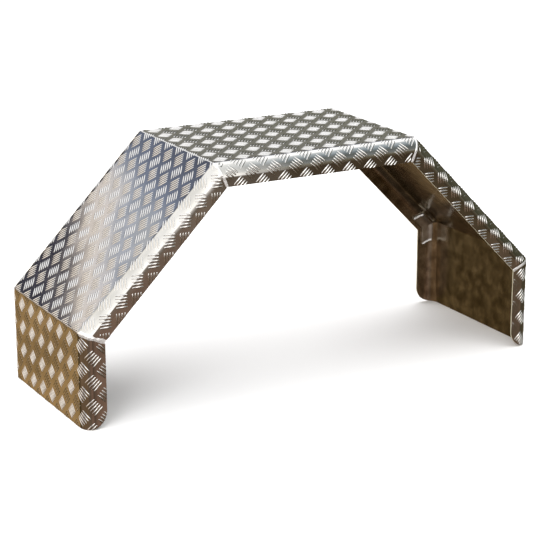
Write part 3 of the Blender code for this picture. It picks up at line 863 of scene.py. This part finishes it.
def slanted(tree, split, slant, pivot):
    """Height that grows or falls towards +X as well."""
    sideways = tree.nodes.new("ShaderNodeMath")
    sideways.operation = "MULTIPLY_ADD"
    sideways.inputs[1].default_value = slant
    sideways.inputs[2].default_value = slant * pivot
    tree.links.new(split.outputs["X"], sideways.inputs[0])
    total = tree.nodes.new("ShaderNodeMath")
    tree.links.new(split.outputs["Z"], total.inputs[0])
    tree.links.new(sideways.outputs["Value"], total.inputs[1])
    return total.outputs["Value"]


def fade_node(tree, value, start, end):
    """0 where a value is at start, 1 where it is at end, and smooth between."""
    node = tree.nodes.new("ShaderNodeMapRange")
    node.interpolation_type = "SMOOTHSTEP"
    node.inputs["From Min"].default_value = start
    node.inputs["From Max"].default_value = end
    tree.links.new(value, node.inputs["Value"])
    return node.outputs["Result"]


def mix_colours(tree, factor, first, second, blend="MIX"):
    """Mix of two colours, in full where there is no factor."""
    mix = tree.nodes.new("ShaderNodeMix")
    mix.data_type = "RGBA"
    mix.blend_type = blend
    mix.inputs["Factor"].default_value = 1.0
    if factor is not None:
        tree.links.new(factor, mix.inputs["Factor"])
    tree.links.new(first, mix.inputs["A"])
    tree.links.new(second, mix.inputs["B"])
    return mix.outputs["Result"]


def build_world():
    """Surroundings that the metal reflects, by direction, and plain white to the camera."""
    world = bpy.data.worlds.new("studio")
    bpy.context.scene.world = world
    world.use_nodes = True
    tree = world.node_tree
    tree.nodes.clear()
    direction = tree.nodes.new("ShaderNodeTexCoord").outputs["Generated"]
    split = tree.nodes.new("ShaderNodeSeparateXYZ")
    tree.links.new(direction, split.inputs["Vector"])
    east, north, height = (split.outputs[axis] for axis in "XYZ")

    def side(stops):
        return elevation_ramp(tree, height, stops)

    def blend(value, edge, first, second):
        return mix_colours(tree, fade_node(tree, value, *edge), first, second)

    above_band = slanted(tree, split, BAND_SLANT, BAND_PIVOT)
    into_dark = slanted(tree, split, DARK_SLANT, DARK_PIVOT)
    ahead = blend(above_band, BAND_EDGE, elevation_ramp(tree, above_band, AHEAD),
                  elevation_ramp(tree, above_band, AHEAD_BAND))
    ahead = blend(into_dark, DARK_EDGE, ahead, elevation_ramp(tree, into_dark, AHEAD_HIGH))
    ahead = blend(east, AHEAD_RIGHT_EDGE, ahead, side(AHEAD_RIGHT))
    leaning = elevation_ramp(tree, slanted(tree, split, LEANING_SLANT, LEANING_PIVOT), BEHIND_LEANING)
    behind = blend(east, LEANING_EDGE, side(BEHIND), leaning)
    high_up = slanted(tree, split, HIGH_SLANT, HIGH_PIVOT)
    behind = blend(high_up, HIGH_EDGE, behind, side(BEHIND_HIGH))
    behind = blend(east, HIGH_END, behind, leaning)
    behind = blend(east, BEHIND_RIGHT_EDGE, behind, side(BEHIND_RIGHT))
    behind = blend(east, LOW_RIGHT_EDGE, behind, side(LOW_RIGHT))
    left = blend(north, BEHIND_LEFT_EDGE, side(LEFT), side(BEHIND_LEFT))
    far_left = blend(north, LEFT_SHADE_EDGE, side(FAR_LEFT), side(LEFT_SHADE))
    sky = blend(north, BEHIND_EDGE, ahead, behind)
    far_right = blend(north, FAR_RIGHT_EDGE, side(LOW_RIGHT), side(FAR_RIGHT))
    sky = blend(east, RIGHT_EDGE, sky, far_right)
    sky = blend(east, LEFT_EDGE, sky, left)
    sky = blend(east, FAR_LEFT_EDGE, sky, far_left)
    patches = range_node(tree, noise_node(tree, direction, GROUND_PATCHES, 8.0), *PATCH_RANGE)
    ground = mix_colours(tree, None, sky, patches, "MULTIPLY")
    sky = blend(height, GROUND_EDGE, sky, ground)
    reflected = tree.nodes.new("ShaderNodeBackground")
    tree.links.new(sky, reflected.inputs["Color"])
    seen = tree.nodes.new("ShaderNodeBackground")
    seen.inputs["Color"].default_value = (1, 1, 1, 1)
    paths = tree.nodes.new("ShaderNodeLightPath")
    mix = tree.nodes.new("ShaderNodeMixShader")
    tree.links.new(paths.outputs["Is Camera Ray"], mix.inputs["Fac"])
    tree.links.new(reflected.outputs["Background"], mix.inputs[1])
    tree.links.new(seen.outputs["Background"], mix.inputs[2])
    output = tree.nodes.new("ShaderNodeOutputWorld")
    tree.links.new(mix.outputs["Shader"], output.inputs["Surface"])


def build_floor():
    """Plain pale floor under the feet."""
    mesh = bpy.data.meshes.new("floor")
    corners = [(x * FLOOR_HALF, y * FLOOR_HALF, 0) for x, y in ((-1, -1), (1, -1), (1, 1), (-1, 1))]
    mesh.from_pydata(corners, [], [(0, 1, 2, 3)])
    floor = bpy.data.objects.new("floor", mesh)
    bpy.context.scene.collection.objects.link(floor)
    material = bpy.data.materials.new("pale_floor")
    material.use_nodes = True
    shader = material.node_tree.nodes["Principled BSDF"]
    shader.inputs["Base Color"].default_value = (0.92, 0.92, 0.92, 1)
    shader.inputs["Roughness"].default_value = 0.9
    shader.inputs["Specular IOR Level"].default_value = 0.0
    mesh.materials.append(material)
    floor.visible_glossy = False
    floor.location.z = -FLOOR_DROP


def add_light(name, place, target, size, power):
    """Soft square area light that faces a target and isn't seen in reflections."""
    data = bpy.data.lights.new(name, "AREA")
    data.size = size
    data.energy = power
    light = bpy.data.objects.new(name, data)
    light.location = place
    light.rotation_euler = (Vector(target) - Vector(place)).to_track_quat("-Z", "Y").to_euler()
    light.visible_glossy = False
    light.visible_camera = False
    bpy.context.scene.collection.objects.link(light)


def build_camera():
    """Camera where the photograph was taken from."""
    back = Vector((math.sin(CAMERA_AZIMUTH) * math.cos(CAMERA_ELEVATION),
                   -math.cos(CAMERA_AZIMUTH) * math.cos(CAMERA_ELEVATION),
                   math.sin(CAMERA_ELEVATION)))
    data = bpy.data.cameras.new("photo_camera")
    data.sensor_width = SENSOR
    data.lens = FOCAL_PIXELS / PHOTO_PIXELS * SENSOR
    data.clip_end = 100
    camera = bpy.data.objects.new("photo_camera", data)
    camera.location = CAMERA_TARGET + back * CAMERA_DISTANCE
    camera.rotation_mode = "QUATERNION"
    turn = back.to_track_quat("Z", "Y")
    camera.rotation_quaternion = turn @ Quaternion((0, 0, 1), CAMERA_ROLL)
    bpy.context.scene.collection.objects.link(camera)
    bpy.context.scene.camera = camera


sheet = build_sheet([outer_sheet_material(), inner_sheet_painted_shade_material(), cut_edge_material()])
bars = build_bars(bar_material())
welds = build_welds(weld_material())
strap = build_strap(strap_material())
beads = build_beads(bead_material())

for piece in [sheet, welds, *bars]:
    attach(piece, "root")
for piece in (strap, beads):
    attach(piece, "root")
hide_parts("mudguard_shell")
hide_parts("joint_doubler")

build_world()
build_floor()
add_light("overhead", (0.0, 0.0, 3.2), (0, 0, 0), 5.0, 160)
add_light("side", (-3.0, -2.4, 1.3), (0, 0, 0.15), 2.0, 90)
build_camera()
bpy.context.scene.view_settings.view_transform = "Standard"
